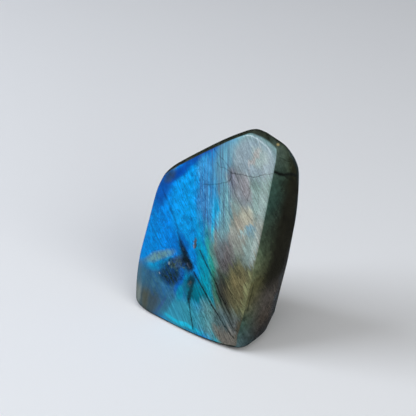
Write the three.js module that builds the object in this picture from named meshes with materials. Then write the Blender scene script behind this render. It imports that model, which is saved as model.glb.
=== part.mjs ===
// A labradorite freeform: one slab of stone, ground to broad facets, rounded over where they meet and polished.
// Millimetres, +Z up. The broad flashing face looks towards -Y and leans back, the width runs along X, and the
// origin is on the flat base, under the middle of the stone.

import * as THREE from 'three';
import { mergeVertices } from 'three/addons/utils/BufferGeometryUtils.js';

// How far the broad face leans back from upright, in degrees.
const LEAN = 16;

// The ground facets. Each one is a plane that faces outwards along a direction: "turn" is the angle about Z in
// degrees, from -Y (0) towards +X (90), and "lift" is the angle above the horizon. "reach" is the distance in
// millimetres from the origin to the plane, and "round" is how deep inside the plane the polished edge starts.
const FACETS = [
  { name: 'front face', turn: 0, lift: LEAN, reach: 16.8, round: 1.7 },
  { name: 'front face, ground back at the foot', turn: 15, lift: 2, reach: 20, round: 5 },
  { name: 'bevel between front and right', turn: 37.5, lift: 17.5, reach: 30.9, round: 3.1 },
  { name: 'right side', turn: 84, lift: 1, reach: 25.7, round: 2.8 },
  { name: 'right side, towards the back', turn: 116, lift: -10, reach: 19.7, round: 10 },
  { name: 'left side', turn: -85, lift: 6.5, reach: 26.8, round: 6.7 },
  { name: 'left side, undercut at the foot', turn: -83, lift: -28, reach: 21.3, round: 8.4 },
  { name: 'left shoulder', turn: -104, lift: 52, reach: 49.6, round: 2.7 },
  { name: 'long slope of the crown', turn: -108, lift: 39, reach: 45.8, round: 6.4 },
  { name: 'back slope of the crown', turn: 191, lift: 38.5, reach: 46.3, round: 6.6 },
  { name: 'right shoulder', turn: 138, lift: 52, reach: 66.4, round: 6.7 },
  { name: 'back', turn: 180, lift: -12, reach: 15.2, round: 7 },
  { name: 'back, towards the left', turn: 200, lift: 12, reach: 18.3, round: 9 },
  { name: 'back, undercut at the foot', turn: 180, lift: -50, reach: 18.7, round: 5 },
  { name: 'base', turn: 0, lift: -90, reach: 0, round: 2.9 },
];

// A point well inside the stone, from which its surface is measured along rays, and the stone's half sizes about it,
// which open the fan of rays out over a shape that is taller than it is thick.
const CORE = new THREE.Vector3(-3, 3, 32);
const HALF_SIZES = new THREE.Vector3(25, 17, 36);
const LONGEST_RAY = 90;
const HALVINGS = 44;

// The surface is a grid of meridians, which run from the middle of the front face over the edge to the middle of the
// back. BEND_WORTH is the length of flat, in millimetres, that gets as many grid lines as one radian of bend.
const MERIDIANS = 104;
const ROWS = 47;
const BEND_WORTH = 20;
const FINE_STEPS = 480;

// The rings round the edge that place the meridians, as shares of the way from the back to the front.
const RINGS = [0.35, 0.5, 0.65];

// How many meridians on each side share in a meridian's rows, so that the grid doesn't shear where edges meet.
const NEIGHBOURS = 2;

const LABRADORITE = new THREE.MeshStandardMaterial({
  name: 'polished labradorite',
  color: 0x2b7fae,
  roughness: 0.12,
  metalness: 0,
});

// The outward unit normal of a facet, from its two angles.
function facetNormal({ turn, lift }) {
  const around = THREE.MathUtils.degToRad(turn);
  const above = THREE.MathUtils.degToRad(lift);
  const level = Math.cos(above);
  return new THREE.Vector3(Math.sin(around) * level, -Math.cos(around) * level, Math.sin(above));
}

const planes = FACETS.map((facet) => ({ ...facet, normal: facetNormal(facet) }));

// A facet's share at a point: 0 deeper inside than its round, rising to 1 on its plane.
function facetShare(plane, point) {
  return Math.max(0, 1 + (plane.normal.dot(point) - plane.reach) / plane.round);
}

// The surface is where the squares of the shares add up to 1, so that a facet is flat away from the others, and two
// that meet are joined by a quarter of an ellipse.
function isInside(point) {
  let total = 0;
  for (const plane of planes) total += facetShare(plane, point) ** 2;
  return total < 1;
}

// The point where a ray from the core leaves the stone, found by halving.
function surfacePoint(direction) {
  const point = new THREE.Vector3();
  let inside = 0;
  let outside = LONGEST_RAY;
  for (let step = 0; step < HALVINGS; step += 1) {
    const middle = (inside + outside) / 2;
    point.copy(CORE).addScaledVector(direction, middle);
    if (isInside(point)) inside = middle;
    else outside = middle;
  }
  return point.copy(CORE).addScaledVector(direction, (inside + outside) / 2);
}

// The surface's outward unit normal: each facet's own, in proportion to its share.
function surfaceNormal(point) {
  const normal = new THREE.Vector3();
  for (const plane of planes) normal.addScaledVector(plane.normal, facetShare(plane, point) / plane.round);
  return normal.normalize();
}

// The direction of a ray: "around" turns about Y, and "along" goes from the back (0) to the front (half a turn).
function rayDirection(around, along) {
  const aside = Math.sin(along);
  const direction = new THREE.Vector3(-Math.cos(around) * aside, Math.cos(along), Math.sin(around) * aside);
  return direction.multiply(HALF_SIZES).normalize();
}

// Splits fans of rays, each from angle 0 to lastAngle, into stretches with equal length and bend taken together on
// the surface, so that the tight rounds get as many grid lines as the broad flats. Returns the angles between them.
function evenAngles(fans, lastAngle, count) {
  const effort = new Array(FINE_STEPS + 1).fill(0);
  for (const directionAt of fans) {
    let total = 0;
    let point = surfacePoint(directionAt(0));
    let normal = surfaceNormal(point);
    for (let step = 1; step <= FINE_STEPS; step += 1) {
      const nextPoint = surfacePoint(directionAt((lastAngle * step) / FINE_STEPS));
      const nextNormal = surfaceNormal(nextPoint);
      total += point.distanceTo(nextPoint) + BEND_WORTH * normal.angleTo(nextNormal);
      effort[step] += total;
      point = nextPoint;
      normal = nextNormal;
    }
  }
  const angles = [];
  let step = 0;
  for (let line = 0; line <= count; line += 1) {
    const target = (effort[FINE_STEPS] * line) / count;
    while (step < FINE_STEPS - 1 && effort[step + 1] < target) step += 1;
    const part = (target - effort[step]) / (effort[step + 1] - effort[step]);
    angles.push((lastAngle * (step + part)) / FINE_STEPS);
  }
  return angles;
}

// The angle of a row on a meridian, averaged over its neighbours.
function easedRow(allRows, column, row) {
  let total = 0;
  for (let aside = -NEIGHBOURS; aside <= NEIGHBOURS; aside += 1) {
    total += allRows[(column + aside + MERIDIANS) % MERIDIANS][row];
  }
  return total / (2 * NEIGHBOURS + 1);
}

// The whole stone: a sphere's grid with its poles on Y, each corner moved out along its ray to the surface.
function stoneGeometry() {
  const ball = new THREE.SphereGeometry(1, MERIDIANS, ROWS);
  ball.deleteAttribute('normal');
  ball.deleteAttribute('uv');
  const corners = ball.attributes.position;
  const rings = RINGS.map((share) => (angle) => rayDirection(angle, Math.PI * share));
  const meridians = evenAngles(rings, 2 * Math.PI, MERIDIANS);
  const allRows = meridians.map((around) => evenAngles([(angle) => rayDirection(around, angle)], Math.PI, ROWS));
  for (let column = 0; column <= MERIDIANS; column += 1) {
    const around = meridians[column % MERIDIANS];
    for (let row = 0; row <= ROWS; row += 1) {
      const corner = surfacePoint(rayDirection(around, easedRow(allRows, column, row)));
      corners.setXYZ(row * (MERIDIANS + 1) + column, ...corner);
    }
  }
  const geometry = mergeVertices(ball, 1e-4);
  geometry.computeVertexNormals();
  return geometry;
}

const stone = new THREE.Mesh(stoneGeometry(), LABRADORITE);
stone.name = 'stone';

const freeform = new THREE.Group();
freeform.name = 'labradorite freeform';
freeform.add(stone);

export default freeform;
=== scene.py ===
"""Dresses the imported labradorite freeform: a ground and polished stone, its flash, and a small studio."""

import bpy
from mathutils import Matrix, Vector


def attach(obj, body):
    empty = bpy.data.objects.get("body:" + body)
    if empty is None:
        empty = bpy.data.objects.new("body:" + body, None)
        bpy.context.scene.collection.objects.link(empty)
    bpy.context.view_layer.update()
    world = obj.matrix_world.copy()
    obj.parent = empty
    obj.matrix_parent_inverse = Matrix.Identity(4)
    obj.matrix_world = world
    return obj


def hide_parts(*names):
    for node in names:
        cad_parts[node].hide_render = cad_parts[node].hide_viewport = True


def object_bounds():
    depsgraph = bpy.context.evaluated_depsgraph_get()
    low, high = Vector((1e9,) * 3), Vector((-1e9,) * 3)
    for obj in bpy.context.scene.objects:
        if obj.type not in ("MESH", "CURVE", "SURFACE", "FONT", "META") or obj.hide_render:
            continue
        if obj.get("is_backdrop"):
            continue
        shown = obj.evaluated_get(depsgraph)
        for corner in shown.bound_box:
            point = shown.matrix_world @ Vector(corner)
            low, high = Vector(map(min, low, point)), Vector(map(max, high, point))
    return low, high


bl_info = {
    "name": "Labradorite Freeform",
    "version": (1, 0, 0),
    "blender": (4, 5, 0),
    "location": "View3D > Sidebar > Labradorite",
    "description": "Builds a polished labradorite freeform with its flash, and a small studio",
    "category": "Object",
}

from collections import namedtuple
from functools import partial
from math import cos, pi, radians, sin

import bpy
import numpy as np
from bpy.props import FloatProperty, FloatVectorProperty, IntProperty, PointerProperty
from mathutils import Vector

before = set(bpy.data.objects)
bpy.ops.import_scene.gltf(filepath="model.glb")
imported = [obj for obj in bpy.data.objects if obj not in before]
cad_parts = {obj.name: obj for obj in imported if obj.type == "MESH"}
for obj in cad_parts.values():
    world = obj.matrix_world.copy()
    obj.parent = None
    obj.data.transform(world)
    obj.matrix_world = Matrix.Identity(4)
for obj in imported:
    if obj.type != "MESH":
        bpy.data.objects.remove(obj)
CAD_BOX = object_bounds()

MM = 0.001
STONE_NODE = "stone"
STONE_BODY = "root"

# The stone's colours, as sRGB hex values. The blues and cyans are its flash, the greys and creams its pale
# bands, and the rest its body and the minerals in it. A few also hold painted reflections, a painted glint
# and painted shade.
COLOURS = {
    "ultramarine": "0034A8", "royal blue": "084CA8", "cobalt": "0060B8", "strong blue": "0074C8",
    "azure": "0088D8", "bright azure": "0090EC", "sky azure": "08A4F0", "pale azure": "40ACE8",
    "cyan": "00A8DC", "bright cyan": "18B8D8", "cerulean": "0498CC", "lagoon blue": "0084BC",
    "sea teal": "0090A8", "deep teal": "00707C", "turquoise": "2CA8A8", "sea green": "30A08C",
    "dull cyan": "38909C", "steel blue": "2C90C4", "periwinkle": "4490C4", "violet blue": "384C84",
    "smoky blue": "346880", "dusk blue": "304854", "ink blue": "1C2E44", "haze blue": "6898B0",
    "haze teal": "6CA4AC", "sea mist": "88A09C", "pale teal": "98B4B4", "milky blue": "98A8B4",
    "milky green": "A8BCB4", "milky pink": "B8B0AC", "cream": "BCB8A4", "dull cream": "A49C8C",
    "pale mauve": "989498", "mauve": "888892", "dusky mauve": "70686C", "violet mauve": "606C98",
    "pale sage": "949890", "light sage": "848C84", "sage": "6C7870", "grey green": "689490",
    "fir grey": "5C7C70", "moss grey": "546860", "fern grey": "50604C", "dark moss": "3C4C40",
    "dark fir": "345048", "slate": "404C48", "slate blue": "4C6468", "warm grey": "747068",
    "stone grey": "646C6C", "olive grey": "505448", "olive": "58583C", "light olive": "687458",
    "olive gold": "7C805C", "dull gold": "706848", "gold": "A8986C", "umber": "403A34",
    "brown grey": "4C4844", "dark umber": "342E2C", "charcoal": "24282C", "peat": "1C1C14",
    "dark olive": "2C2C14", "bottle green": "1A2E28", "mineral black": "0C1C22",
    "mineral teal": "0C3038", "crystal grey": "88989C", "crystal green": "507068",
    "hairline olive": "34362E", "hairline violet": "34487C", "thread cyan": "8CD0E8",
    "vein blue": "0A4C98", "crackle blue": "123A78", "crack black": "0E120F", "body green": "24291F",
    "body moss": "2C3428", "body grey": "384036", "body olive": "444634", "back blue": "2C5A70",
    "crown black": "14130C", "pale table": "E9EBEE", "dim room": "38383A", "cool white": "F4F8FF",
    "warm white": "FFFEFA", "white": "FFFFFF",
}

# The colours of the flash from left to right where it is blue, and from the foot to the crown where it is
# grey, those of the right side from the foot to the crown, along its ridge and behind it, and those of
# the body. Each place is a share of the way.
BLUE_STOPS = (
    (0.0, "azure"), (0.14, "azure"), (0.3, "bright azure"), (0.46, "strong blue"), (0.6, "lagoon blue"),
    (0.74, "azure"), (0.86, "cerulean"), (1.0, "turquoise"),
)
GREY_STOPS = (
    (0.05, "warm grey"), (0.13, "stone grey"), (0.22, "fern grey"), (0.31, "dark moss"),
    (0.39, "dark moss"), (0.43, "sage"), (0.47, "light sage"), (0.52, "pale sage"), (0.6, "light sage"),
    (0.66, "sea mist"), (0.73, "sea mist"), (0.85, "fir grey"), (0.93, "grey green"),
)
# Low on the right side, the slate blue at the foot of the ridge, and the umber and brown grey between the
# charcoal and the peat, are a painted reflection of the table.
RIDGE_STOPS = (
    (0.0, "slate blue"), (0.12, "dark fir"), (0.24, "olive"), (0.34, "olive"), (0.42, "light olive"),
    (0.5, "fern grey"), (0.6, "dark moss"), (0.72, "dark fir"), (0.84, "dark fir"), (1.0, "moss grey"),
)
DARK_AND_TABLE_REFLECTION_STOPS = (
    (0.0, "charcoal"), (0.1, "umber"), (0.22, "brown grey"), (0.32, "peat"), (0.5, "peat"),
    (0.75, "peat"), (1.0, "dark olive"),
)
BODY_STOPS = (
    (0.3, "body green"), (0.45, "body moss"), (0.58, "body grey"), (0.72, "body olive"),
)

# The slab leans back by this much from upright, in degrees.
LEAN = 16

# The ground facets, in millimetres and degrees. Each faces outwards along a direction: turn is the angle
# about Z from -Y towards +X, and lift the angle above the horizon. reach is how far its plane lies from
# the origin, and round is how deep inside the plane the polished edge starts.
Facet = namedtuple("Facet", "name turn lift reach round")
FACETS = (
    Facet("front face", 0, LEAN, 16.8, 1.7),
    Facet("front face, ground back at the foot", 15, 2, 20, 5),
    Facet("bevel between front and right", 37.5, 17.5, 30.9, 3.1),
    Facet("right side", 84, 1, 25.7, 2.8),
    Facet("right side, towards the back", 116, -10, 19.7, 10),
    Facet("left side", -85, 6.5, 26.8, 6.7),
    Facet("left side, undercut at the foot", -83, -28, 21.3, 8.4),
    Facet("left shoulder", -104, 52, 49.6, 2.7),
    Facet("long slope of the crown", -108, 39, 45.8, 6.4),
    Facet("back slope of the crown", 191, 38.5, 46.3, 6.6),
    Facet("right shoulder", 138, 52, 66.4, 6.7),
    Facet("back", 180, -12, 15.2, 7),
    Facet("back, towards the left", 200, 12, 18.3, 9),
    Facet("back, undercut at the foot", 180, -50, 18.7, 5),
    Facet("base", 0, -90, 0, 2.9),
)
CORE = np.array((-3.0, 3.0, 32.0))
HALF_SIZES = np.array((25.0, 17.0, 36.0))
LONGEST_RAY = 90.0
HALVINGS = 44

# The rings round the edge that place the grid's meridians, as shares of the way from the back to the
# front, and how many meridians on each side share in a meridian's rows.
RINGS = (0.35, 0.5, 0.65)
NEIGHBOURS = 6

# Places on the front face are in millimetres: across from the middle of the stone to the right, and up
# the slope of the face from the level of the base. A patch is a soft-edged ellipse there: its half sizes,
# its tilt in degrees (anticlockwise), its colour, how soft its edge is as a share of its size, and how
# much it covers what is below.
Patch = namedtuple("Patch", "name centre radii tilt colour soft cover", defaults=(0.8, 0.85))
FLASH_PATCHES = (
    Patch("bright cyan heart", (-6.6, 35), (5.4, 8), 25, "sky azure"),
    Patch("azure under the rim", (-7, 45.6), (5, 3.4), 42, "sky azure", 0.7, 0.8),
    Patch("deep azure upper left", (-18.4, 38.4), (2.6, 5.6), -14, "royal blue"),
    Patch("royal blue corner", (-13.2, 44.9), (4.4, 1.1), 42, "ultramarine"),
    Patch("royal blue under the rim", (-7.8, 51.2), (6.2, 0.8), 42, "royal blue", 0.8, 0.8),
    Patch("royal blue rim", (-2.6, 57.3), (14, 1.1), 38.5, "royal blue", 0.6),
    Patch("smoky corner", (-16.4, 43.4), (2.6, 1.5), 52, "dusk blue", 0.7),
    Patch("tip of the corner", (-15.2, 47.2), (1.2, 0.8), 60, "moss grey", 0.6, 0.8),
    Patch("periwinkle field", (0.6, 42), (3, 8.6), 8, "periwinkle", 0.7),
    Patch("pale azure under the rim", (-2.6, 50.4), (2.6, 3.2), 0, "pale azure", 0.7, 0.8),
    Patch("teal streak", (3, 39), (1, 9), 12, "steel blue", 0.8, 0.7),
    Patch("pale fringe under the rim", (4.4, 55.4), (3, 6), 0, "haze teal", 0.8, 0.8),
    Patch("pale fringe", (6.2, 47), (1.9, 7), 8, "haze blue", 0.8, 0.75),
    Patch("cyan tip", (6, 38), (1.8, 4), 12, "cyan", 0.7, 0.8),
    Patch("teal-grey fringe", (9, 37.6), (2, 10), 8, "haze teal", 0.8, 0.8),
    # The milky crown, and the ring and streak in it, are pale flash under a painted reflection of the
    # window.
    Patch("milky crown under a painted window reflection", (15.5, 59.5), (8.2, 6.2), 0, "milky blue", 0.5, 0.8),
    Patch("pale ring in it", (17.6, 60.2), (2.6, 2.8), 0, "milky green", 0.6, 0.6),
    Patch("pink streak in it", (16, 59.6), (0.8, 3), -18, "milky pink", 0.8, 0.7),
    Patch("mauve star field", (9.6, 51), (2.6, 2.2), -45, "sage", 0.7),
    Patch("mauve wedge below the star", (12.4, 49), (4.8, 2.6), -47, "mauve", 0.95, 0.75),
    Patch("pink below the wedge", (15, 50), (3.4, 1.6), -60, "pale mauve", 0.8, 0.7),
    Patch("cream patch", (18, 40.6), (3.2, 2), -42, "cream", 0.7),
    Patch("cream tail", (15.4, 37.6), (3, 1.4), -44, "dull cream", 0.7, 0.7),
    Patch("pale blue spark", (18.4, 36), (2.8, 0.8), 52, "pale teal", 0.7),
    Patch("teal shadow beside the spark", (20.6, 37.4), (1.4, 1.8), 0, "haze blue", 0.7, 0.8),
    # The pale teal by the ridge is flash with a painted highlight of the polished strip along the ridge.
    Patch("pale teal ridge strip with a painted highlight", (21.4, 32), (1.8, 5), -4, "sea mist", 0.7, 0.8),
    Patch("mauve middle", (12, 26.4), (3, 4.6), 12, "dusky mauve", 0.8, 0.75),
    Patch("cyan tongue", (2.2, 28), (8, 2), -62, "cerulean", 0.7),
    Patch("teal tongue", (5, 19), (7.4, 2.4), -60, "sea teal", 0.6),
    Patch("teal foot of the tongue", (8.4, 12), (4.4, 1.8), -56, "sea teal", 0.6),
    Patch("green fringe of the tongue", (7.6, 22), (9.4, 1.1), -64, "sea green", 0.7, 0.8),
    Patch("olive fringe of the tongue", (9, 22), (9, 0.8), -64, "grey green", 0.8, 0.7),
    Patch("dark teal pool", (3, 10.2), (5.4, 3.4), -16, "deep teal", 0.6, 0.9),
    Patch("dark strip beside the gold", (14.4, 14.2), (5.4, 2.2), -46, "dark umber", 0.8, 0.8),
    Patch("gold foot", (20.5, 18), (4, 5.6), 10, "dull gold"),
    Patch("gold glint", (18.8, 18.8), (1.9, 1.3), -35, "dull gold", 0.8, 0.8),
    Patch("lit edge of the ridge", (23.3, 15), (0.7, 11), -2, "olive gold", 0.7, 0.8),
    Patch("teal-grey foot", (10.6, 3.4), (3.6, 5), 20, "grey green", 0.7),
    Patch("grey foot", (15.4, 4.4), (3.4, 3), -38, "slate blue", 0.7, 0.8),
    # The grey lobe is the stone's grey under a painted highlight where the ridge meets the foot.
    Patch("grey lobe under a painted highlight", (17.6, 0.4), (3.8, 1.7), -14, "warm grey", 0.6),
    Patch("dark edge of the lobe", (23.6, 2.6), (1.3, 5), 8, "umber", 0.7),
    # The cyan band at the foot is flash under a painted reflection of the table.
    Patch("cyan band at the foot under a painted table reflection", (-0.5, 0.8), (9.6, 5.4), 4, "dull cyan", 0.4),
    Patch("lit edge at the foot", (1.6, -2), (7.4, 0.6), 0, "bright cyan"),
    Patch("slate foot", (-18.4, 1), (9, 9), -20, "slate", 0.4, 0.95),
    Patch("light edge of the slate", (-21.2, 3.4), (1.3, 6), 8, "light sage", 0.8, 0.7),
    Patch("olive streak in the slate", (-17.3, 3), (1, 5.4), 4, "olive grey", 0.9, 0.8),
    Patch("smoky blue above the slate", (-14, 8.2), (9, 3.6), 2, "smoky blue", 0.9),
    Patch("deep blue by the slate", (-7.2, 4), (1.5, 7), -20, "smoky blue", 0.8, 0.8),
    Patch("violet rim of the slate", (-9.7, 0.6), (0.4, 3), -24, "violet blue", 0.9, 0.5),
    Patch("deep blue beside the inclusion", (-4, 11.4), (1.2, 3.6), -10, "cobalt", 0.7, 0.9),
    Patch("bright blue below the pit", (-2.8, 7.4), (1.2, 2.2), 0, "sea teal", 0.7, 0.8),
    Patch("deep blue above the inclusion", (-4.8, 23.8), (2.9, 1.2), -46, "cobalt", 0.8, 0.8),
    Patch("azure right of the streak", (-0.6, 21.6), (1.6, 1.2), -46, "azure", 0.7),
    Patch("cyan fringe of the spearhead", (-14, 14.2), (4.6, 1.8), 34, "cerulean", 0.7, 0.9),
    Patch("pale green spearhead", (-14.6, 16.2), (5, 1.2), 33, "grey green", 0.8, 0.95),
    Patch("smoky inclusion", (-8.2, 12.9), (4.5, 3.6), 30, "bottle green", 0.5, 0.9),
    Patch("grey shoulder of the inclusion", (-5.8, 17.3), (3.4, 1.7), 28, "dark moss", 0.6, 0.9),
    Patch("dark heart of the inclusion", (-7.4, 10.6), (2.2, 1.4), 30, "bottle green", 0.8, 0.8),
    Patch("dark shadow under the pit", (-2.6, 18), (3, 1.8), -40, "ink blue", 0.7),
)

# The dark minerals in the face, with their broken edges, and the bright grains among them.
SPECKS = (
    Patch("dark streak", (-4.4, 21.4), (3.1, 1), -46, "mineral black", 0.7, 0.92),
    Patch("dark blob below the streak", (-0.9, 17.8), (1.6, 1.2), -40, "mineral black", 0.7, 0.9),
    Patch("dark grain beside the streak", (-3, 19), (1.5, 0.8), 20, "mineral black", 0.7),
    Patch("dark pit", (0.9, 13), (1.2, 2.1), -14, "mineral teal", 0.7, 0.92),
    Patch("streak below the dark pit", (1.4, 8.6), (0.7, 2.6), -4, "mineral teal", 0.8, 0.9),
    Patch("rusty heart of the dark pit", (0.6, 12.4), (0.3, 0.35), 0, "brown grey", 0.9, 0.6),
    Patch("brown pit", (-0.6, 25.6), (0.4, 1.4), 5, "brown grey", 0.7, 0.95),
    Patch("dark edge of the brown pit", (-0.1, 24.9), (0.3, 0.8), 10, "mineral teal", 0.6, 0.9),
    Patch("crystal grain", (-9.7, 15.5), (0.22, 0.6), -15, "crystal grey", 0.5, 0.8),
    Patch("crystal grain", (-7, 16.4), (0.2, 0.7), -20, "crystal green", 0.5, 0.8),
    Patch("crystal grain", (-5.8, 14.2), (0.2, 0.4), 10, "crystal green", 0.5, 0.8),
    Patch("crystal grain", (-8.2, 14.6), (0.2, 0.4), 30, "crystal green", 0.5, 0.8),
    Patch("crystal grain", (-12.9, 10.8), (0.25, 0.25), 0, "crystal grey", 0.5),
    Patch("crystal grain", (-3.3, 16.2), (0.4, 0.2), 20, "crystal green", 0.5, 0.8),
)

# The cracks in the front face, from point to point in the same places. width is their half width, dark is
# how black they look, and depth is how far an open one has worn below the polish, all but dark in
# millimetres.
Crack = namedtuple("Crack", "name path width dark depth", defaults=(0,))
CRACKS = (
    Crack("long crack", ((1.3, 16.3), (3.7, 14.3), (8, 11), (10.7, 8.7), (14, 6.3)), 0.56, 1.0, 0.08),
    Crack("long crack, lower end", ((14, 6.3), (17.3, 3.7), (21.3, 1)), 0.46, 0.85, 0.05),
    Crack("crack above it", ((2, 24), (6, 20.3), (8.7, 18), (11, 16)), 0.5, 0.9),
    Crack("broad black crack", ((11, 16), (13.3, 13.4), (16, 10.9)), 0.8, 0.95, 0.06),
    Crack("broad black crack, lower end", ((16, 10.9), (18.3, 8.7), (20.7, 5.7)), 0.44, 0.65),
    Crack("crack between the two", ((11.6, 13.6), (13.3, 12), (17.3, 7.7), (21.3, 3.7)), 0.5, 0.8),
    Crack("crack into the ridge", ((15, 16.6), (19, 14.6), (24.6, 12)), 0.26, 0.55, 0.04),
    Crack("foot crack", ((1.3, 7), (2.7, 3.3), (4, 1), (5.3, -2.2)), 0.46, 0.9, 0.04),
    Crack("crown crack, left", ((-1.7, 45.3), (1, 46), (3.7, 47), (7, 48.7), (8.6, 50.4)), 0.34, 0.42),
    Crack("crown crack, upper left", ((1.7, 53.7), (3.3, 52.7), (5.3, 53), (8.6, 52.2)), 0.3, 0.4),
    Crack("crown crack, rising", ((-0.6, 57.4), (2, 56), (4.3, 55.3), (7, 53.7), (8.6, 52)), 0.3, 0.42),
    Crack("star of the crown crack", ((8, 52.4), (8.6, 51), (8.2, 49.6)), 0.6, 0.45),
    Crack("crown crack, right", ((8.6, 52.2), (12, 53), (15.3, 53.3), (17.3, 53.7)), 0.34, 0.55),
    Crack("crown crack, to the ridge", ((17.3, 53.7), (19, 54.7), (21.3, 56), (24.4, 57)), 0.22, 0.65, 0.03),
    Crack("upright crack", ((16.3, 53), (16.8, 49), (16.5, 45.7)), 0.28, 0.45),
    Crack("slanting crack", ((8.7, 50), (12, 45.7), (15.7, 43), (20, 40.3)), 0.36, 0.5),
    Crack("second slanting crack", ((9.7, 52.7), (14, 48), (16.7, 45.7)), 0.34, 0.5),
    Crack("faint slanting crack", ((7, 42.3), (10.3, 39.7), (13, 38)), 0.3, 0.45),
    Crack("middle crack", ((5.6, 33.4), (9, 31), (14.4, 26.4)), 0.32, 0.5),
    Crack("line across the azure", ((-8.4, 40.5), (-5.8, 36.2), (-3.4, 31.6), (-1, 28)), 0.7, 0.3),
    Crack("line left of it", ((-18.4, 38), (-14.6, 34.4), (-10.2, 29.6), (-6.4, 24.3)), 0.7, 0.4),
    Crack("line at the left edge", ((-20.8, 25), (-17.8, 22.6), (-14, 19.8)), 0.6, 0.42),
    Crack("line to the dark streak", ((-8.8, 26.6), (-7.4, 24.9), (-6, 23.4)), 0.6, 0.5),
    Crack("line under the crown crack", ((-3, 41), (-1, 44.6), (0.4, 45.8)), 0.22, 0.3),
)

# The crack and the veins of the right side: places are back from the middle of the stone, and up from the
# base.
SIDE_CRACKS = (
    Crack("crown crack", ((-0.6, 60.4), (2.6, 58.4), (5.2, 57.4), (7.4, 56.8), (10.4, 55)), 0.95, 1.0),
    Crack("branch below it", ((4, 57.8), (6.2, 55.6), (8.6, 54)), 0.5, 0.7),
    Crack("vein above it", ((3.4, 63.4), (6, 61.6), (9.6, 60.4)), 0.3, 0.5),
    Crack("crack beside the gold", ((-8.4, 24), (-9.8, 19.6), (-11, 15)), 0.5, 0.55),
)

Pit = namedtuple("Pit", "name centre radii tilt soft depth")
PITS = (
    Pit("brown pit", (-0.6, 25.5), (0.6, 1.4), 5, 0.5, 0.16),
    Pit("dark pit", (0.7, 12.2), (0.8, 1.2), -10, 0.5, 0.2),
    Pit("pit in the dark streak", (-1.2, 17.8), (1.2, 0.7), -40, 0.5, 0.15),
    Pit("pit at the head of the dark streak", (-5, 22), (0.8, 0.5), -50, 0.5, 0.12),
    Pit("pit by the crystal speck", (-9.8, 15.4), (0.5, 0.7), 0, 0.5, 0.1),
)

# The parts of the front face that a pattern is kept to, as soft-edged ellipses.
Region = namedtuple("Region", "centre radii tilt soft")
REGIONS = {
    "comb": Region((2.6, 47), (7, 16), 8, 0.4),
    "right": Region((17, 27), (13, 40), 0, 0.3),
    "lower right": Region((14, 10), (13, 17), 0, 0.4),
    "foot": Region((1, 2), (11, 7), 0, 0.3),
    "left": Region((-10, 30), (14, 26), 0, 0.3),
    "inclusion": Region((-6, 15), (7, 4.6), 38, 0.4),
    "slate": Region((-17.4, 2), (6.4, 9), -14, 0.4),
}

# The twin layers: how far each set is tilted on the front face, in degrees, and the size of one streak
# across and along them, in millimetres. All go into the stone at LAYER_DIP. The real ones are finer than
# shows.
Layers = namedtuple("Layers", "tilt across along")
FACE_LAYERS = {
    "slanted": Layers(-44, 0.9, 9),
    "fine slanted": Layers(-47, 0.34, 3.5),
    "upright": Layers(-74, 0.55, 16),
    "fine upright": Layers(-76, 0.22, 9),
    "smoke": Layers(80, 1.6, 9),
}
BODY_LAYERS = (Layers(-44, 1.3, 12), Layers(-47, 0.4, 4))
LAYER_DIP = -35

# Parts of the skin, by where it faces: a direction as for a facet, and the angles from it at which the
# part fades in and is whole. The flash shows on the front, but not on the crown's rim nor under the foot.
Cone = namedtuple("Cone", "turn lift start end")
FLASH_CONES = (Cone(4, 10, 46, 38), Cone(0, -90, 121, 115), Cone(0, 90, 112, 100))
WORN_CONE = Cone(0, LEAN, 45, 20)
SIDE_CONE = Cone(84, 1, 74, 44)
BACK_CONE = Cone(185, 0, 90, 50)
# What faces up is darkened by painted shade.
TOP_SHADE_CONE = Cone(0, 90, 74, 30)

# The border between the blue and the grey bows to the right by BOW times the square of the height from
# BOW_HEIGHT, and the comb's teeth share COMB_REACH, in millimetres.
BOW_HEIGHT = 38.0
BOW = 0.0068
COMB_REACH = 20.0

# Patches with a radius over LARGE_PATCH, or right of RIGHT_PART, are drawn out along PULL by the slanted
# layers, in millimetres.
LARGE_PATCH = 4
RIGHT_PART = 8
PULL = (6.0, -5.6, 0)

# How far the ridge of the right side leans back for each millimetre of height.
RIDGE_LEAN = 0.27

# Places in the frame, in millimetres: the gold chip with its painted glint, and where the lights and the
# camera point.
CHIP_GLINT_PLACE = (22.2, 4.1, 67.2)
LIT_PLACE = (0, 0, 30)
CAMERA_TARGET = (-4.5, 1.36, 36.6)

POLISHED_ROUGHNESS = 0.1
PITTED_ROUGHNESS = 0.3
LABRADORITE_IOR = 1.56

# A Mix node's colour sockets, by place, because its other sockets have the same names.
MIX_A = 6
MIX_B = 7
MIX_RESULT = 2

# Further than anything on the stone, in millimetres.
FAR_AWAY = 1000.0

# The studio's lights: where they stand (degrees and metres), their sizes in metres, power in watts,
# colour, and whether they light the stone or are only seen in its polish.
Light = namedtuple("Light", "name azimuth elevation distance width height power colour lights")
LIGHTS = (
    Light("window", -52, 36, 0.9, 0.6, 0.45, 7.0, "cool white", True),
    Light("fill", 75, 25, 0.9, 0.7, 0.6, 5.3, "warm white", True),
    Light("overhead", 20, 80, 1.2, 0.9, 0.9, 3.7, "white", True),
    Light("ridge card", 10, 6, 0.3, 0.28, 0.085, 0.13, "cool white", False),
    Light("crown strip", -23, 14.6, 0.6, 0.56, 0.028, 0.34, "cool white", False),
)


def linear(colour):
    """The linear RGBA of a named sRGB hex colour."""
    shares = (int(COLOURS[colour][place : place + 2], 16) / 255 for place in (0, 2, 4))
    return (*(s / 12.92 if s <= 0.04045 else ((s + 0.055) / 1.055) ** 2.4 for s in shares), 1.0)


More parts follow.
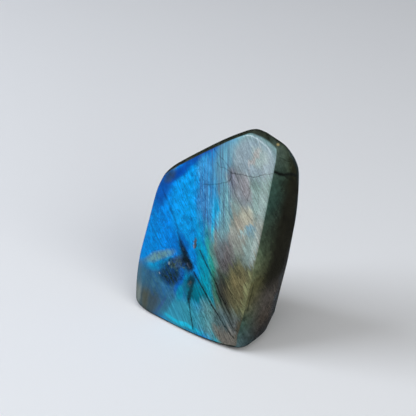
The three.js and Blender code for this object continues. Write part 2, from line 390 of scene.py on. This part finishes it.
def node(tree, kind, inputs=None, stops=(), **settings):
    """Adds a node to a tree. An input is a value, a colour's name, a socket, a node (its first output) or a
    (node, output) pair. Below, add is this function with its tree given."""
    made = tree.nodes.new(kind)
    for name, value in settings.items():
        setattr(made, name, value)
    for key, value in (inputs or {}).items():
        if isinstance(value, bpy.types.Node):
            value = value.outputs[0]
        elif isinstance(value, tuple) and isinstance(value[0], bpy.types.Node):
            value = value[0].outputs[value[1]]
        elif isinstance(value, str):
            value = linear(value)
        if isinstance(value, bpy.types.NodeSocket):
            tree.links.new(value, made.inputs[key])
        else:
            made.inputs[key].default_value = value
    for place, (position, colour) in enumerate(stops):
        elements = made.color_ramp.elements
        element = elements[place] if place < 2 else elements.new(position)
        element.position = position
        element.color = linear(colour)
    return made


# ---- The ground form


def facet_planes():
    """The facets' outward normals, reaches and rounds, as arrays."""
    normals = []
    for facet in FACETS:
        turn, lift = radians(facet.turn), radians(facet.lift)
        normals.append((sin(turn) * cos(lift), -cos(turn) * cos(lift), sin(lift)))
    reaches = np.array([facet.reach for facet in FACETS], float)
    rounds = np.array([facet.round for facet in FACETS], float)
    return np.array(normals), reaches, rounds


def facet_shares(points, planes):
    """How much each facet counts at each point: 0 deeper inside than its round, rising to 1 on its plane."""
    normals, reaches, rounds = planes
    return np.maximum(0.0, 1.0 + (points @ normals.T - reaches) / rounds)


def surface(directions, planes):
    """Where rays from the core leave the stone, and the outward normals there."""
    inside = np.zeros(directions.shape[:-1])
    outside = np.full(directions.shape[:-1], LONGEST_RAY)
    for _ in range(HALVINGS):
        middle = (inside + outside) / 2
        shares = facet_shares(CORE + directions * middle[..., None], planes)
        within = (shares**2).sum(-1) < 1
        inside = np.where(within, middle, inside)
        outside = np.where(within, outside, middle)
    points = CORE + directions * ((inside + outside) / 2)[..., None]
    normals = (facet_shares(points, planes) / planes[2]) @ planes[0]
    return points, normals / np.linalg.norm(normals, axis=-1, keepdims=True)


def ray_directions(around, along):
    """Directions that turn about Y by around, and go from the back (0) to the front (pi) by along."""
    aside = np.sin(along)
    spread = np.stack((-np.cos(around) * aside, np.cos(along), np.sin(around) * aside), -1) * HALF_SIZES
    return spread / np.linalg.norm(spread, axis=-1, keepdims=True)


def even_angles(angles, fans, planes, bend_worth, count):
    """Angles between stretches that are equal in length and bend taken together, over all the fans."""
    points, normals = surface(fans, planes)
    lengths = np.linalg.norm(np.diff(points, axis=1), axis=-1)
    bends = np.arccos(np.clip((normals[:, 1:] * normals[:, :-1]).sum(-1), -1, 1))
    effort = np.concatenate(([0.0], np.cumsum((lengths + bend_worth * bends).sum(0))))
    return np.interp(np.linspace(0, effort[-1], count + 1), effort, angles)


def grid_angles(settings, planes):
    """The turn of each meridian about Y, and the angles of its rows from the back to the front."""
    bend_worth = settings.bend_worth / MM
    turns = np.linspace(0, 2 * pi, settings.fine_steps + 1)
    halves = np.linspace(0, pi, settings.fine_steps + 1)
    rings = np.stack([ray_directions(turns, np.full_like(turns, pi * share)) for share in RINGS])
    around = even_angles(turns, rings, planes, bend_worth, settings.meridians)[:-1]
    fans = [ray_directions(np.full_like(halves, angle), halves)[None] for angle in around]
    along = np.stack([even_angles(halves, fan, planes, bend_worth, settings.rows) for fan in fans])
    shared = [np.roll(along, aside, axis=0) for aside in range(-NEIGHBOURS, NEIGHBOURS + 1)]
    return around, sum(shared) / len(shared)


def stone_grid(settings):
    """The corners and faces of the stone: a grid of meridians, with its poles on the broad sides."""
    planes = facet_planes()
    around, along = grid_angles(settings, planes)
    meridians, rows = settings.meridians, settings.rows
    corners = [surface(ray_directions(np.zeros(1), np.zeros(1)), planes)[0]]
    for row in range(1, rows):
        corners.append(surface(ray_directions(around, along[:, row]), planes)[0])
    corners.append(surface(ray_directions(np.zeros(1), np.full(1, pi)), planes)[0])
    corners = np.concatenate(corners)

    # Triangles round the first pole, four-sided faces between the rings, and triangles round the last pole.
    ring = np.arange(meridians)
    beside = (ring + 1) % meridians
    starts = 1 + meridians * np.arange(rows - 1)
    first, last = np.zeros_like(ring), np.full_like(ring, len(corners) - 1)
    faces = np.stack((first, 1 + ring, 1 + beside), -1).tolist()
    for above, below in zip(starts, starts[1:]):
        faces += np.stack((above + ring, below + ring, below + beside, above + beside), -1).tolist()
    faces += np.stack((starts[-1] + ring, last, starts[-1] + beside), -1).tolist()
    return corners * MM, faces


# ---- Patterns, which the relief and the material share


def face_place(add, position):
    """Turns a position in metres into millimetres across the front face, up it, and out of it."""
    scaled = add("ShaderNodeVectorMath", {0: position, "Scale": 1 / MM}, operation="SCALE")
    turned = {"Vector": scaled, "Angle": -radians(90 - LEAN)}
    return add("ShaderNodeVectorRotate", turned, rotation_type="X_AXIS")


def side_place(add, position):
    """Turns a position in metres into millimetres back along the right side, up it, and out of it."""
    parts = add("ShaderNodeSeparateXYZ", {0: position})
    turned = add("ShaderNodeCombineXYZ", {"X": (parts, "Y"), "Y": (parts, "Z"), "Z": (parts, "X")})
    return add("ShaderNodeVectorMath", {0: turned, "Scale": 1 / MM}, operation="SCALE")


def patch_mask(add, place, patch):
    """1 inside a tilted ellipse, falling to 0 over its soft edge."""
    tilt = radians(patch.tilt)
    axes = ((cos(tilt), sin(tilt), 0), (-sin(tilt), cos(tilt), 0))
    moved = add("ShaderNodeVectorMath", {0: place, 1: (*patch.centre, 0)}, operation="SUBTRACT")
    square = 0.0
    for axis, radius in zip(axes, patch.radii):
        share = {0: moved, 1: [part / radius for part in axis]}
        share = (add("ShaderNodeVectorMath", share, operation="DOT_PRODUCT"), "Value")
        square = add("ShaderNodeMath", {0: share, 1: share, 2: square}, operation="MULTIPLY_ADD")
    ends = {"Value": square, "From Min": (1 + patch.soft) ** 2, "From Max": (1 - patch.soft) ** 2}
    return add("ShaderNodeMapRange", ends, interpolation_type="SMOOTHSTEP")


def crack_mask(add, place, crack):
    """1 along the middle of a crack's path, falling to 0 at its edges."""
    nearest = FAR_AWAY
    for start, end in zip(crack.path, crack.path[1:]):
        run = Vector((end[0] - start[0], end[1] - start[1], 0))
        moved = add("ShaderNodeVectorMath", {0: place, 1: (*start, 0)}, operation="SUBTRACT")
        moved = add("ShaderNodeVectorMath", {0: moved, 1: (1, 1, 0)}, operation="MULTIPLY")
        share = {0: moved, 1: run / run.length_squared}
        share = (add("ShaderNodeVectorMath", share, operation="DOT_PRODUCT"), "Value")
        share = add("ShaderNodeClamp", {"Value": share})
        foot = add("ShaderNodeVectorMath", {0: run, "Scale": share}, operation="SCALE")
        distance = (add("ShaderNodeVectorMath", {0: moved, 1: foot}, operation="DISTANCE"), "Value")
        nearest = add("ShaderNodeMath", {0: distance, 1: nearest}, operation="MINIMUM")
    ends = {"Value": nearest, "From Min": crack.width, "From Max": 0.0}
    return add("ShaderNodeMapRange", ends, interpolation_type="SMOOTHSTEP")


def wandered(add, place, size, reach):
    """The place, moved about by up to reach millimetres in swirls of the given size."""
    swirl = add("ShaderNodeTexNoise", {"Vector": place, "Scale": 1 / size, "Detail": 2.0})
    centred = add("ShaderNodeVectorMath", {0: (swirl, "Color"), 1: (0.5,) * 3}, operation="SUBTRACT")
    moved = {0: centred, 1: (reach * 2,) * 3, 2: place}
    return add("ShaderNodeVectorMath", moved, operation="MULTIPLY_ADD")


def roughened(add, place):
    """The place, with the small wander that makes the cracks and pits ragged."""
    return wandered(add, wandered(add, place, size=1.3, reach=0.3), size=0.4, reach=0.12)


def streaks(add, place, layers):
    """Noise drawn out into sheets that cross the face at the layers' tilt and go down into the stone."""
    turn = {"Vector": place, "Rotation": (radians(LAYER_DIP), 0, radians(layers.tilt))}
    turned = add("ShaderNodeVectorRotate", turn, rotation_type="EULER_XYZ", invert=True)
    drawn = {0: turned, 1: (1 / layers.along, 1 / layers.across, 1 / layers.along)}
    drawn = add("ShaderNodeVectorMath", drawn, operation="MULTIPLY")
    return add("ShaderNodeTexNoise", {"Vector": drawn, "Scale": 1.0, "Detail": 3.0, "Roughness": 0.6})


def hairlines(add, noise, width):
    """1 along the thin lines where a noise crosses its middle value, falling to 0 beside them."""
    off = add("ShaderNodeMath", {0: noise, 1: 0.5}, operation="SUBTRACT")
    off = add("ShaderNodeMath", {0: off}, operation="ABSOLUTE")
    return add("ShaderNodeMapRange", {"Value": off, "From Min": width, "From Max": 0.0})


def facing(add, normal, cone):
    """1 where the normal is within the cone's end angle, falling to 0 at its start angle."""
    turn, lift = radians(cone.turn), radians(cone.lift)
    direction = (sin(turn) * cos(lift), -cos(turn) * cos(lift), sin(lift))
    share = add("ShaderNodeVectorMath", {0: normal, 1: direction}, operation="DOT_PRODUCT")
    ends = {"From Min": cos(radians(cone.start)), "From Max": cos(radians(cone.end))}
    ends["Value"] = (share, "Value")
    return add("ShaderNodeMapRange", ends, interpolation_type="SMOOTHSTEP")


def overlap(add, *masks):
    """1 where all the masks are 1."""
    together = masks[0]
    for mask in masks[1:]:
        together = add("ShaderNodeMath", {0: together, 1: mask}, operation="MULTIPLY")
    return together


# ---- The relief left after polishing


def wear(add, position, normal):
    """How deep the pits and the open cracks of the front face go, in metres."""
    ragged = roughened(add, face_place(add, position))
    worn = [(crack_mask(add, ragged, crack), crack.depth) for crack in CRACKS if crack.depth]
    worn += [(patch_mask(add, ragged, pit), pit.depth) for pit in PITS]
    total = 0.0
    for mask, depth in worn:
        total = add("ShaderNodeMath", {0: mask, 1: depth * MM, 2: total}, operation="MULTIPLY_ADD")
    return overlap(add, total, facing(add, normal, WORN_CONE))


def relief_tree():
    """Geometry nodes that lower the polished skin into ripples, pits and open cracks, all but the base."""
    tree = bpy.data.node_groups.new("worn polish", "GeometryNodeTree")
    sockets = tree.interface
    sockets.new_socket("Geometry", in_out="OUTPUT", socket_type="NodeSocketGeometry")
    sockets.new_socket("Geometry", in_out="INPUT", socket_type="NodeSocketGeometry")
    for name in ("Ripple Height", "Ripple Size", "Relief"):
        sockets.new_socket(name, in_out="INPUT", socket_type="NodeSocketFloat")
    sockets.new_socket("Material", in_out="INPUT", socket_type="NodeSocketMaterial")
    add = partial(node, tree)
    given = add("NodeGroupInput")
    position = add("GeometryNodeInputPosition")
    normal = add("GeometryNodeInputNormal")

    ripple_scale = add("ShaderNodeMath", {0: 1.0, 1: (given, "Ripple Size")}, operation="DIVIDE")
    swell = add("ShaderNodeTexNoise", {"Vector": position, "Scale": ripple_scale, "Detail": 1.0})
    lowered = add("ShaderNodeMath", {0: swell, 1: (given, "Ripple Height")}, operation="MULTIPLY")
    lowered = {0: wear(add, position, normal), 1: (given, "Relief"), 2: lowered}
    lowered = add("ShaderNodeMath", lowered, operation="MULTIPLY_ADD")

    height = add("ShaderNodeSeparateXYZ", {0: position})
    above_base = {"Value": (height, "Z"), "From Min": 0.5 * MM, "From Max": 3 * MM}
    above_base = add("ShaderNodeMapRange", above_base, interpolation_type="SMOOTHSTEP")
    lowered = add("ShaderNodeMath", {0: lowered, 1: above_base}, operation="MULTIPLY")
    inwards = add("ShaderNodeMath", {0: lowered, 1: -1.0}, operation="MULTIPLY")
    offset = add("ShaderNodeVectorMath", {0: normal, "Scale": inwards}, operation="SCALE")
    moved = add("GeometryNodeSetPosition", {"Geometry": (given, "Geometry"), "Offset": offset})
    smooth = add("GeometryNodeSetShadeSmooth", {"Geometry": moved})
    real = add("GeometryNodeRealizeInstances", {"Geometry": smooth})
    finished = add("GeometryNodeSetMaterial", {"Geometry": real, "Material": (given, "Material")})
    add("NodeGroupOutput", {"Geometry": finished})
    return tree


def apply_relief(piece, settings, finish):
    """Runs the relief nodes on the piece and keeps the result as its plain mesh."""
    tree = relief_tree()
    relief = piece.modifiers.new("worn polish", "NODES")
    relief.node_group = tree
    values = {
        "Ripple Height": settings.ripple_height,
        "Ripple Size": settings.ripple_size,
        "Relief": settings.relief,
        "Material": finish,
    }
    for item in tree.interface.items_tree:
        if item.in_out == "INPUT" and item.name in values:
            relief[item.identifier] = values[item.name]
    bpy.context.view_layer.update()
    shaped = piece.evaluated_get(bpy.context.evaluated_depsgraph_get())
    mesh = bpy.data.meshes.new_from_object(shaped)
    piece.modifiers.remove(relief)
    piece.data = mesh
    mesh.name = piece.name


# ---- The finish


def covered(add, below, colour, mask, cover=1.0):
    """A colour laid over what is below it where the mask is 1."""
    amount = add("ShaderNodeMath", {0: mask, 1: cover}, operation="MULTIPLY")
    return (add("ShaderNodeMix", {0: amount, MIX_A: below, MIX_B: colour}, data_type="RGBA"), MIX_RESULT)


def brightened(add, colour, noise, least, most):
    """A colour darkened or lightened by a noise: times least where it is 0.3, and times most at 0.7."""
    factor = {"Value": noise, "From Min": 0.3, "From Max": 0.7, "To Min": least, "To Max": most}
    factor = add("ShaderNodeMapRange", factor, clamp=False)
    return add("ShaderNodeHueSaturation", {"Color": colour, "Value": factor})


def lined(add, below, noise, width, region, colour, cover):
    """A colour laid in thin lines along a noise over what is below it, within a region."""
    lines = overlap(add, hairlines(add, noise, width), region)
    return covered(add, below, colour, lines, cover)


def flash_ground(add, pulled, upright, comb):
    """The main colours of the flash: blue from the left, through cyan, to grey. Their border bows to the
    right at the foot and the crown, and between them the upright twin layers comb it out."""
    parts = add("ShaderNodeSeparateXYZ", {0: pulled})
    bow = add("ShaderNodeMath", {0: (parts, "Y"), 1: BOW_HEIGHT}, operation="SUBTRACT")
    bow = add("ShaderNodeMath", {0: bow, 1: bow}, operation="MULTIPLY")
    across = add("ShaderNodeMath", {0: bow, 1: -BOW, 2: (parts, "X")}, operation="MULTIPLY_ADD")
    teeth = add("ShaderNodeMath", {0: upright, 1: 0.5}, operation="SUBTRACT")
    teeth = add("ShaderNodeMath", {0: teeth, 1: COMB_REACH}, operation="MULTIPLY")
    across = add("ShaderNodeMath", {0: teeth, 1: comb, 2: across}, operation="MULTIPLY_ADD")

    # In millimetres, across for the blue and for the border, and up for the grey.
    blue = add("ShaderNodeMapRange", {"Value": across, "From Min": -24.0, "From Max": 6.0})
    blue = add("ShaderNodeValToRGB", {"Fac": blue}, stops=BLUE_STOPS)
    grey = add("ShaderNodeMapRange", {"Value": (parts, "Y"), "From Min": -4.0, "From Max": 68.0})
    grey = add("ShaderNodeValToRGB", {"Fac": grey}, stops=GREY_STOPS)
    border = {"Value": across, "From Min": 3.6, "From Max": 7.0}
    border = add("ShaderNodeMapRange", border, interpolation_type="SMOOTHSTEP")
    return covered(add, blue, grey, border)


def pulled_place(add, place, slanted, right):
    """The place, swirled, and to the right drawn out along the slanted layers."""
    pull = add("ShaderNodeMath", {0: slanted, 1: 0.5}, operation="SUBTRACT")
    pull = add("ShaderNodeMath", {0: pull, 1: right}, operation="MULTIPLY")
    pulled = add("ShaderNodeVectorMath", {0: PULL, "Scale": pull}, operation="SCALE")
    swirled = wandered(add, place, size=6, reach=1.1)
    return add("ShaderNodeVectorMath", {0: pulled, 1: swirled}, operation="ADD")


def combed(add, flash, layers, comb):
    """The flash, striped by the upright layers within the comb, with mauve streaks among them."""
    mauve = add("ShaderNodeMapRange", {"Value": layers["upright"], "From Min": 0.52, "From Max": 0.62})
    flash = covered(add, flash, "violet mauve", overlap(add, mauve, comb), 0.5)
    striped = brightened(add, flash, layers["upright"], least=1.3, most=0.75)
    striped = brightened(add, striped, layers["fine upright"], least=0.7, most=1.3)
    return covered(add, flash, striped, comb)


def slashed(add, flash, layers, grain, regions):
    """The flash, striped by the slanted layers to the right and at the foot, with a fine grain over it."""
    striped = brightened(add, flash, layers["slanted"], least=0.66, most=1.3)
    striped = brightened(add, striped, layers["fine slanted"], least=0.64, most=1.32)
    for name, cover in (("right", 0.7), ("lower right", 0.5), ("foot", 0.5)):
        flash = covered(add, flash, striped, regions[name], cover)
    flash = brightened(add, flash, layers["fine slanted"], least=0.93, most=1.06)
    flash = brightened(add, flash, grain, least=0.94, most=1.06)
    grained = brightened(add, flash, grain, least=0.8, most=1.2)
    flash = covered(add, flash, grained, regions["right"], 0.7)
    flash = lined(add, flash, layers["slanted"], 0.03, regions["right"], "hairline olive", 0.3)
    return lined(add, flash, layers["slanted"], 0.03, regions["lower right"], "crack black", 0.55)


def threaded(add, flash, layers, comb):
    """The flash, with violet lines and bright cyan threads along the upright layers within the comb."""
    flash = lined(add, flash, layers["upright"], 0.028, comb, "hairline violet", 0.65)
    flash = lined(add, flash, layers["fine upright"], 0.04, comb, "hairline violet", 0.4)
    threads = {"Value": layers["fine upright"], "From Min": 0.58, "From Max": 0.68}
    threads = add("ShaderNodeMapRange", threads)
    return covered(add, flash, "thread cyan", overlap(add, threads, comb), 0.35)


def clouded(add, flash, place, small, layers, regions):
    """The flash, mottled and veined in the blue, grainy in the inclusion and smoky in the slate."""
    mottle = add("ShaderNodeTexNoise", {"Vector": small, "Scale": 0.42, "Detail": 3.0, "Roughness": 0.6})
    mottled = brightened(add, flash, mottle, least=0.7, most=1.24)
    flash = covered(add, flash, mottled, regions["left"])
    flash = lined(add, flash, layers["slanted"], 0.05, regions["left"], "vein blue", 0.55)
    grains = add("ShaderNodeTexNoise", {"Vector": place, "Scale": 0.8, "Detail": 5.0, "Roughness": 0.8})
    grainy = brightened(add, flash, grains, least=0.1, most=2.0)
    flash = covered(add, flash, grainy, regions["inclusion"])
    swirled = wandered(add, place, size=6, reach=1.1)
    crackle = add("ShaderNodeTexNoise", {"Vector": swirled, "Scale": 0.3, "Detail": 3.0, "Roughness": 0.55})
    flash = lined(add, flash, crackle, 0.03, regions["left"], "crackle blue", 0.4)
    smoky = brightened(add, flash, layers["smoke"], least=0.8, most=1.16)
    return covered(add, flash, smoky, regions["slate"])


def flash_colours(add, place):
    """The flash on the front face, over its fine twin layers, with its patches, minerals and cracks; a few
    patches hold painted reflections and highlights.
    """
    layers = {name: streaks(add, place, sizes) for name, sizes in FACE_LAYERS.items()}
    regions = {name: patch_mask(add, place, region) for name, region in REGIONS.items()}
    grain = add("ShaderNodeTexNoise", {"Vector": place, "Scale": 1.7, "Detail": 3.0, "Roughness": 0.7})
    small = wandered(add, place, size=1.3, reach=0.3)
    pulled = pulled_place(add, place, layers["slanted"], regions["right"])

    flash = flash_ground(add, pulled, layers["upright"], regions["comb"])
    for patch in FLASH_PATCHES:
        drawn_out = max(patch.radii) > LARGE_PATCH or patch.centre[0] > RIGHT_PART
        mask = patch_mask(add, pulled if drawn_out else small, patch)
        flash = covered(add, flash, patch.colour, mask, patch.cover)
    flash = combed(add, flash, layers, regions["comb"])
    flash = slashed(add, flash, layers, grain, regions)
    flash = threaded(add, flash, layers, regions["comb"])
    flash = clouded(add, flash, place, small, layers, regions)

    broken = wandered(add, small, size=0.8, reach=0.6)
    for speck in SPECKS:
        flash = covered(add, flash, speck.colour, patch_mask(add, broken, speck), speck.cover)
    ragged = roughened(add, place)
    gaps = add("ShaderNodeMapRange", {"Value": grain, "From Min": 0.34, "From Max": 0.56, "To Min": 0.6})
    for crack in CRACKS:
        mask = overlap(add, crack_mask(add, ragged, crack), gaps)
        flash = covered(add, flash, "crack black", mask, crack.dark)
    return flash


def side_colours(add, position):
    """The right side: a teal, olive and gold glow along the ridge, which fades into the dark behind it, and
    low down a painted reflection of the table.
    """
    place = side_place(add, position)
    parts = add("ShaderNodeSeparateXYZ", {0: wandered(add, place, size=4, reach=1.2)})
    height = add("ShaderNodeMapRange", {"Value": (parts, "Y"), "From Min": 2.0, "From Max": 66.0})
    ridge = add("ShaderNodeValToRGB", {"Fac": height}, stops=RIDGE_STOPS)
    dark = add("ShaderNodeValToRGB", {"Fac": height}, stops=DARK_AND_TABLE_REFLECTION_STOPS)

    # The ridge leans back towards the crown, and the glow fades with the distance behind it.
    behind = {0: (parts, "Y"), 1: -RIDGE_LEAN, 2: (parts, "X")}
    behind = add("ShaderNodeMath", behind, operation="MULTIPLY_ADD")
    glow = {"Value": behind, "From Min": -6.0, "From Max": -18.5}
    glow = add("ShaderNodeMapRange", glow, interpolation_type="SMOOTHSTEP")
    side = covered(add, dark, ridge, glow)
    fine = wandered(add, place, size=2.5, reach=0.4)
    for crack in SIDE_CRACKS:
        side = covered(add, side, "crack black", crack_mask(add, fine, crack), crack.dark)
    return side


def body_colours(add, place, position, normal):
    """The dark body that shows where the stone is turned away from its flash."""
    clouds = add("ShaderNodeTexNoise", {"Vector": place, "Scale": 0.11, "Detail": 4.0, "Distortion": 0.6})
    body = add("ShaderNodeValToRGB", {"Fac": clouds}, stops=BODY_STOPS)
    body = covered(add, body, side_colours(add, position), facing(add, normal, SIDE_CONE))

    # The back has broad and faint clouds of blue flash, and what faces up is darkened by painted shade.
    blue = add("ShaderNodeMapRange", {"Value": clouds, "From Min": 0.46, "From Max": 0.62})
    blue = overlap(add, blue, facing(add, normal, BACK_CONE))
    body = covered(add, body, "back blue", blue, 0.6)
    body = covered(add, body, "crown black", facing(add, normal, TOP_SHADE_CONE), 0.55)
    for layers in BODY_LAYERS:
        body = brightened(add, body, streaks(add, place, layers), least=0.8, most=1.2)
    mottle = add("ShaderNodeTexNoise", {"Vector": place, "Scale": 0.5, "Detail": 6.0, "Roughness": 0.7})
    body = brightened(add, body, mottle, least=0.5, most=1.5)

    # A gold chip sits on the shoulder right of the crown, its bright glint painted.
    centre = Vector(CHIP_GLINT_PLACE) * MM
    away = add("ShaderNodeVectorMath", {0: position, 1: centre}, operation="DISTANCE")
    chip_glint = {"Value": (away, "Value"), "From Min": 0.7 * MM, "From Max": 0.2 * MM}
    chip_glint = add("ShaderNodeMapRange", chip_glint, interpolation_type="SMOOTHSTEP")
    return covered(add, body, "gold", chip_glint, 0.9)


def polished_labradorite():
    """Labradorite, ground and polished: a grey feldspar whose fine twin layers flash blue, cyan and gold
    under a glassy surface that hardly scatters, but for the pits, which the polish doesn't reach."""
    material = bpy.data.materials.new("polished labradorite")
    material.use_nodes = True
    material.node_tree.nodes.clear()
    add = partial(node, material.node_tree)
    coordinates = add("ShaderNodeTexCoord")
    position, normal = (coordinates, "Object"), (coordinates, "Normal")
    place = face_place(add, position)
    in_flash = overlap(add, *(facing(add, normal, cone) for cone in FLASH_CONES))
    body = body_colours(add, place, position, normal)
    colour = covered(add, body, flash_colours(add, place), in_flash)
    pitted = 0.0
    for pit in PITS:
        mask = patch_mask(add, place, pit)
        pitted = add("ShaderNodeMath", {0: pitted, 1: mask}, operation="MAXIMUM")
    ends = {"Value": pitted, "To Min": POLISHED_ROUGHNESS, "To Max": PITTED_ROUGHNESS}
    roughness = add("ShaderNodeMapRange", ends)
    shader = {"Base Color": colour, "Roughness": roughness, "IOR": LABRADORITE_IOR}
    shader = add("ShaderNodeBsdfPrincipled", shader)
    add("ShaderNodeOutputMaterial", {"Surface": shader})
    return material


# ---- Settings, operators and panel


class StoneSettings(bpy.types.PropertyGroup):
    meridians: IntProperty(name="Meridians", description="Grid lines round the edge", default=360, min=12)
    rows: IntProperty(name="Rows", description="Grid lines from back to front", default=250, min=8)
    fine_steps: IntProperty(
        name="Fine Steps", description="Steps that measure each line", default=720, min=24
    )
    bend_worth: FloatProperty(
        name="Bend Worth", description="Flat length that counts as a radian", default=0.006, unit="LENGTH"
    )
    ripple_height: FloatProperty(
        name="Ripple Height", description="Depth of the polishing ripples", default=0.00012, unit="LENGTH"
    )
    ripple_size: FloatProperty(
        name="Ripple Size", description="Width of one polishing ripple", default=0.022, unit="LENGTH"
    )
    relief: FloatProperty(
        name="Relief", description="How deep the pits and cracks are, as a share", default=1.0, min=0
    )


class StageSettings(bpy.types.PropertyGroup):
    azimuth: FloatProperty(
        name="Azimuth", description="Camera's turn about the stone", default=radians(42.76), subtype="ANGLE"
    )
    elevation: FloatProperty(
        name="Elevation", description="Camera's height angle", default=radians(28), subtype="ANGLE"
    )
    distance: FloatProperty(
        name="Distance", description="From the camera to the stone", default=0.46, unit="LENGTH"
    )
    lens: FloatProperty(name="Lens", description="Focal length", default=122, subtype="DISTANCE_CAMERA")
    floor_colour: FloatVectorProperty(
        name="Floor Colour",
        description="Pale table top",
        subtype="COLOR",
        size=4,
        default=linear("pale table"),
    )


class LABRADORITE_OT_stone(bpy.types.Operator):
    """Grind the stone from its facets, wear its polish and give it its finish"""

    bl_idname = "labradorite.stone"
    bl_label = "Stone"

    def execute(self, context):
        settings = context.scene.labradorite_stone
        corners, faces = stone_grid(settings)
        mesh = bpy.data.meshes.new("labradorite_stone")
        mesh.from_pydata(corners.tolist(), [], faces)
        mesh.update()
        stone = bpy.data.objects.new("labradorite_stone", mesh)
        context.scene.collection.objects.link(stone)
        apply_relief(stone, settings, polished_labradorite())
        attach(stone, STONE_BODY)
        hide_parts(STONE_NODE)
        return {"FINISHED"}


def aim(thing, place, target):
    """Puts a light or camera at a place and points it at a target."""
    thing.location = place
    thing.rotation_euler = (target - place).to_track_quat("-Z", "Y").to_euler()


def orbit_place(centre, azimuth, elevation, distance):
    """A place at an azimuth (0 is in front, 90 to the right), elevation and distance from a centre."""
    level = cos(elevation) * distance
    return centre + Vector((sin(azimuth) * level, -cos(azimuth) * level, sin(elevation) * distance))


def lay_floor(colour):
    """The pale table that the stone stands on, which its polish doesn't mirror."""
    bpy.ops.mesh.primitive_plane_add(size=4)
    floor = bpy.context.active_object
    floor.name = "floor"
    matte = bpy.data.materials.new("matt painted table")
    matte.use_nodes = True
    matte.node_tree.nodes.clear()
    add = partial(node, matte.node_tree)
    shader = add("ShaderNodeBsdfPrincipled", {"Base Color": colour, "Roughness": 0.7})
    add("ShaderNodeOutputMaterial", {"Surface": shader})
    floor.data.materials.append(matte)
    floor.visible_glossy = False
    floor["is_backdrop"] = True


def hang_lights(scene):
    """The dim room and the lights in it."""
    world = bpy.data.worlds.new("dim room")
    world.use_nodes = True
    background = world.node_tree.nodes["Background"]
    background.inputs["Color"].default_value = linear("dim room")
    background.inputs["Strength"].default_value = 1.0
    scene.world = world
    centre = Vector(LIT_PLACE) * MM
    for light in LIGHTS:
        data = bpy.data.lights.new(light.name, "AREA")
        data.shape = "RECTANGLE"
        data.size = light.width
        data.size_y = light.height
        data.energy = light.power
        data.color = linear(light.colour)[:3]
        lamp = bpy.data.objects.new(light.name, data)
        scene.collection.objects.link(lamp)
        place = orbit_place(centre, radians(light.azimuth), radians(light.elevation), light.distance)
        aim(lamp, place, centre)
        lamp.visible_glossy = not light.lights
        lamp.visible_diffuse = light.lights


def set_camera(scene, settings):
    """The camera, at its angles and distance from the stone."""
    camera = bpy.data.objects.new("camera", bpy.data.cameras.new("camera"))
    camera.data.lens = settings.lens
    camera.data.sensor_width = 36
    camera.data.clip_start = 0.01
    target = Vector(CAMERA_TARGET) * MM
    place = orbit_place(target, settings.azimuth, settings.elevation, settings.distance)
    aim(camera, place, target)
    scene.collection.objects.link(camera)
    scene.camera = camera


class LABRADORITE_OT_stage(bpy.types.Operator):
    """Lay the pale floor, hang the soft lights and set up the camera"""

    bl_idname = "labradorite.stage"
    bl_label = "Stage"

    def execute(self, context):
        settings = context.scene.labradorite_stage
        lay_floor(settings.floor_colour)
        hang_lights(context.scene)
        set_camera(context.scene, settings)
        context.scene.view_settings.view_transform = "Standard"
        return {"FINISHED"}


class LABRADORITE_PT_panel(bpy.types.Panel):
    bl_label = "Labradorite Freeform"
    bl_space_type = "VIEW_3D"
    bl_region_type = "UI"
    bl_category = "Labradorite"

    def draw(self, context):
        for settings, operator in (
            (context.scene.labradorite_stone, LABRADORITE_OT_stone),
            (context.scene.labradorite_stage, LABRADORITE_OT_stage),
        ):
            box = self.layout.box()
            for name in settings.__annotations__:
                box.prop(settings, name)
            box.operator(operator.bl_idname)


CLASSES = (StoneSettings, StageSettings, LABRADORITE_OT_stone, LABRADORITE_OT_stage, LABRADORITE_PT_panel)


def register():
    for each in CLASSES:
        bpy.utils.register_class(each)
    bpy.types.Scene.labradorite_stone = PointerProperty(type=StoneSettings)
    bpy.types.Scene.labradorite_stage = PointerProperty(type=StageSettings)


def unregister():
    del bpy.types.Scene.labradorite_stage
    del bpy.types.Scene.labradorite_stone
    for each in reversed(CLASSES):
        bpy.utils.unregister_class(each)


def main():
    register()
    bpy.ops.labradorite.stone()
    bpy.ops.labradorite.stage()
    boxes = {"cad": CAD_BOX, "visual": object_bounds()}
    boxes = {name: [[float(x) for x in corner] for corner in box] for name, box in boxes.items()}


if __name__ == "__main__":
    main()
